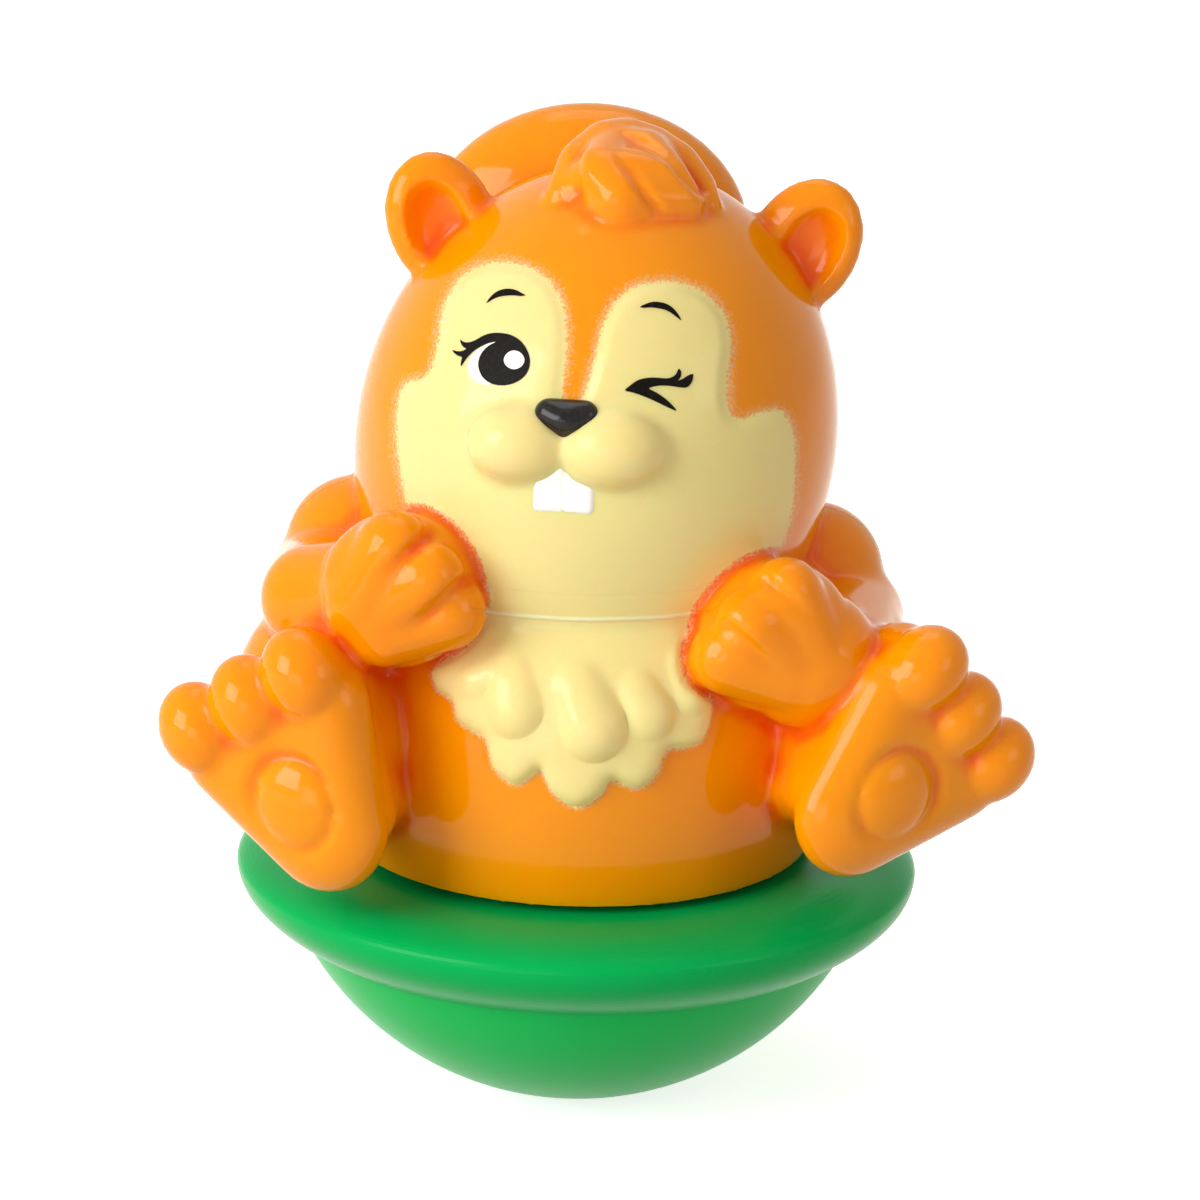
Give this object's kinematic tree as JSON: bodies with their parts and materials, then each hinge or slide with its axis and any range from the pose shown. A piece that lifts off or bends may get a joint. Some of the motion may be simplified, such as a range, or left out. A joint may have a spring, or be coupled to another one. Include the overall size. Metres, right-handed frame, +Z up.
{
  "type": "roly poly toy",
  "caption": "Self-righting roly poly toy: a weighted round-bottomed base carries a turning moulded squirrel figure with a hammer chime inside.",
  "frame": {"origin": "middle of the small flat on the bowl's pole that the toy rests on", "axes": "+Z up along the axis of the round base; the squirrel's feet face -Y; +X is to the right when its face is seen"},
  "size_m": [0.1002, 0.0804, 0.1171],
  "materials": {
    "bowl_plastic": "glossy moulded green",
    "rim_plastic": "glossy moulded green",
    "figure_plastic": "glossy moulded orange with sprayed cream",
    "chime_plastic": "moulded natural white",
    "ballast_iron": "rough cast",
    "screw_steel": "zinc plated",
    "rod_steel": "drawn bright",
    "hammer_brass": "turned"
  },
  "bodies": {
    "base": {"base_bowl": "bowl_plastic", "base_rim": "rim_plastic", "ballast_weight": "ballast_iron", "ballast_screws": "screw_steel", "rim_screws": "screw_steel", "chime_frame": "chime_plastic", "chime_rods": "rod_steel", "chime_screws": "screw_steel", "hammer_pin": "rod_steel"},
    "figure": {"front_shell": "figure_plastic", "rear_shell": "figure_plastic", "shell_screws": "screw_steel"},
    "hammer": {"hammer_arm": "chime_plastic", "hammer_head": "hammer_brass"}
  },
  "joints": [
    {"name": "figure_swivel", "type": "hinge", "parent": "base", "child": "figure", "pos_m": [0, 0, 0.0312], "axis": [0, 0, 1], "continuous": true},
    {"name": "hammer_swing", "type": "hinge", "parent": "base", "child": "hammer", "pos_m": [0, 0, 0.06915], "axis": [0, 1, 0], "range_deg": [-14, 14]}
  ]
}
